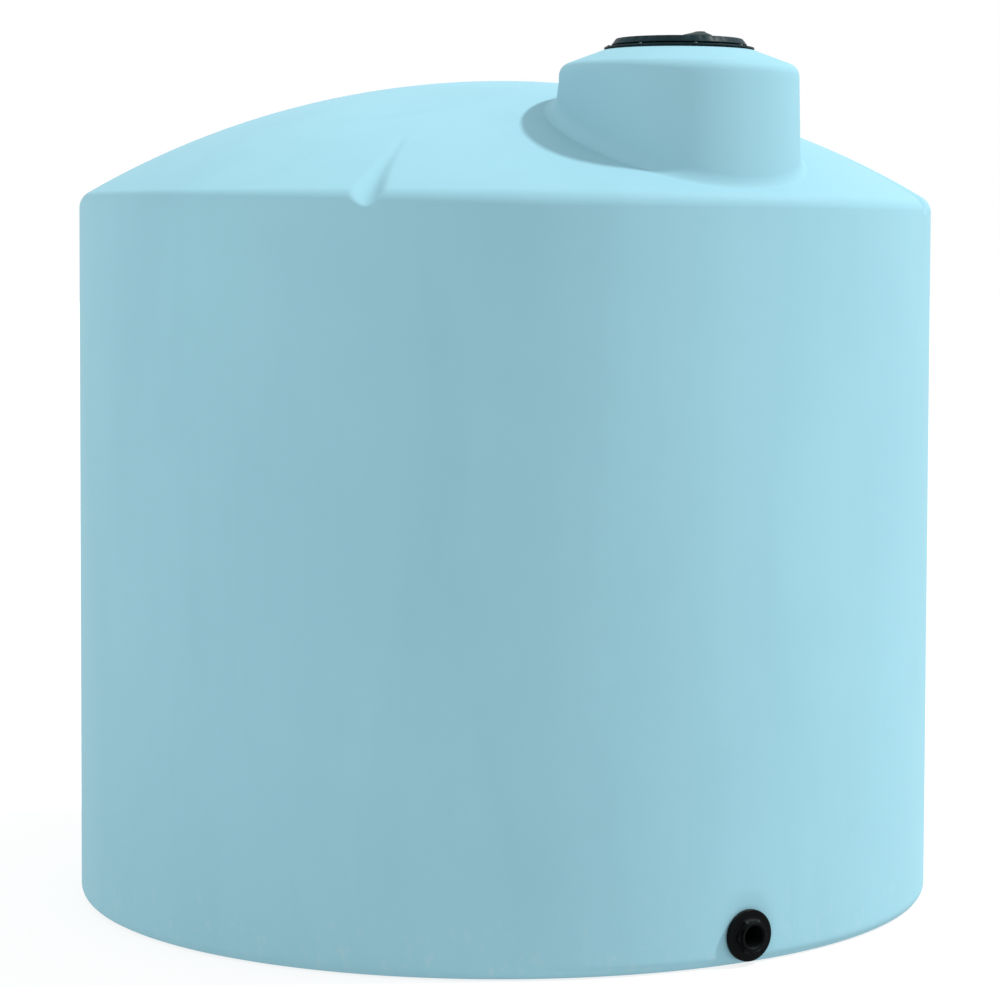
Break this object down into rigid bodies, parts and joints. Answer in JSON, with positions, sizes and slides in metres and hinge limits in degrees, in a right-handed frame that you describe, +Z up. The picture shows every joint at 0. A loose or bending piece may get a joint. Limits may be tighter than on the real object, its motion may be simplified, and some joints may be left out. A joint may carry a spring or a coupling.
{
  "type": "vertical plastic storage tank",
  "caption": "Upright dome-topped water storage tank in light blue polyethylene, with a raised manway neck, a lift-off black lid and a black outlet fitting low on the wall.",
  "frame": {"origin": "centre of the tank's flat bottom, on the floor", "axes": "+Z up along the tank's axis, -Y towards the manway and the outlet, +X to the right seen from there"},
  "size_m": [2.413, 2.4451, 2.3958],
  "materials": {
    "tank_plastic": "satin",
    "black_plastic": "satin",
    "seal_rubber": "matte"
  },
  "bodies": {
    "tank": {"tank_floor": "tank_plastic", "outlet_panel": "tank_plastic", "wall_01": "tank_plastic", "wall_02": "tank_plastic", "wall_03": "tank_plastic", "wall_04": "tank_plastic", "wall_05": "tank_plastic", "wall_06": "tank_plastic", "wall_07": "tank_plastic", "wall_08": "tank_plastic", "wall_09": "tank_plastic", "wall_10": "tank_plastic", "wall_11": "tank_plastic", "wall_12": "tank_plastic", "roof_dome": "tank_plastic", "manway_neck": "tank_plastic", "neck_shoulder": "tank_plastic", "ring_gasket": "seal_rubber", "lid_ring": "black_plastic", "outlet_body": "black_plastic", "outlet_gasket": "seal_rubber", "outlet_washer": "seal_rubber", "outlet_nut": "black_plastic"},
    "manway_lid": {"lid": "black_plastic", "lid_skirt": "black_plastic", "lid_seal": "seal_rubber", "lid_vent": "black_plastic"}
  },
  "joints": [
    {"name": "lid_lift", "type": "slide", "parent": "tank", "child": "manway_lid", "axis": [0, 0, 1], "range_m": [0, 0.3]}
  ]
}
